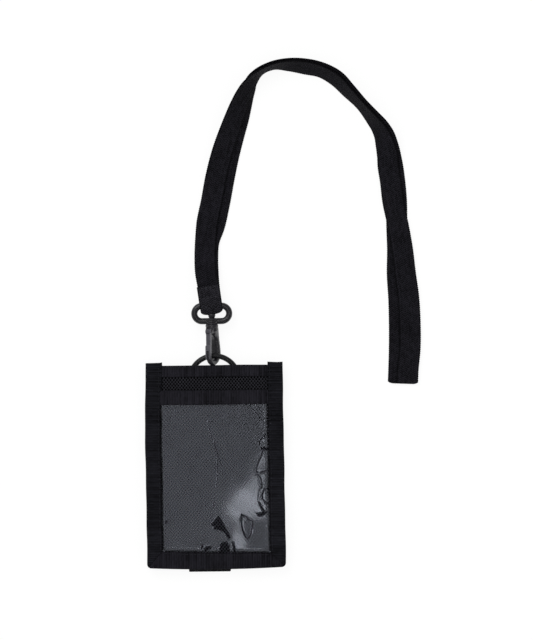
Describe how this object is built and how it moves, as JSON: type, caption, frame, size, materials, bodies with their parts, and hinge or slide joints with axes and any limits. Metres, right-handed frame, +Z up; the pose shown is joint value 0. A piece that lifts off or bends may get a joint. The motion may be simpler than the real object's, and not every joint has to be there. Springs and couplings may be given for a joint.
{
  "type": "id badge wallet",
  "caption": "Upright id badge wallet with a clear window over mesh, bound edges, a ring and a swivel snap hook on a neck lanyard.",
  "frame": {"origin": "on the table, on the underside of the back webbing, below the middle of the wallet", "axes": "+Y from the wallet's bottom edge to its mouth and the hook, +Z up from the table out of the window, +X to the right as seen from the front"},
  "size_m": [0.1833, 0.3413, 0.0151],
  "materials": {
    "panel_cloth": "woven nylon, dull",
    "tape": "ribbed binding tape",
    "mesh": "knitted mesh",
    "webbing": "plain woven webbing",
    "thread": "sewing thread",
    "clear_sheet": "clear soft sheet, wavy gloss",
    "hook_plastic": "satin",
    "ring_plastic": "satin"
  },
  "bodies": {
    "lanyard": {"end_sleeve": "webbing", "sleeve_stitches": "thread", "lanyard_lower_leg": "webbing", "lanyard_upper_leg": "webbing"},
    "eye": {"swivel_eye": "hook_plastic"},
    "hook": {"hook_body": "hook_plastic", "gate_pin_rod": "hook_plastic"},
    "gate": {"gate_lever": "hook_plastic"},
    "ring": {"d_ring": "ring_plastic"},
    "wallet": {"back_panel": "panel_cloth", "mesh_panel": "mesh", "window_sheet": "clear_sheet", "window_mouth_tape": "tape", "top_tape": "tape", "left_binding": "tape", "right_binding": "tape", "bottom_binding": "tape", "back_strap": "webbing", "binding_stitches": "thread", "mouth_stitches": "thread", "top_stitches": "thread", "back_strap_stitches": "thread"}
  },
  "joints": [
    {"name": "eye_hinge", "type": "hinge", "parent": "lanyard", "child": "eye", "pos_m": [-0.0012, 0.10747, 0.00672], "axis": [1, 0, 0], "range_deg": [-90, 30]},
    {"name": "hook_swivel", "type": "hinge", "parent": "eye", "child": "hook", "pos_m": [-0.0012, 0.10237, 0.00672], "axis": [0, 1, 0], "continuous": true},
    {"name": "gate_press", "type": "hinge", "parent": "hook", "child": "gate", "pos_m": [-0.00344, 0.09042, 0.01152], "axis": [0.9063, 0, 0.4226], "range_deg": [0, 8], "stiffness_Nm_per_rad": 0.05, "springref_deg": -2.86},
    {"name": "ring_on_hook", "type": "hinge", "parent": "hook", "child": "ring", "pos_m": [0, 0.07417, 0.00577], "axis": [1, 0, 0], "range_deg": [-15, 30]},
    {"name": "wallet_on_ring", "type": "hinge", "parent": "ring", "child": "wallet", "pos_m": [0, 0.0555, 0.004], "axis": [1, 0, 0], "range_deg": [0, 115]}
  ]
}
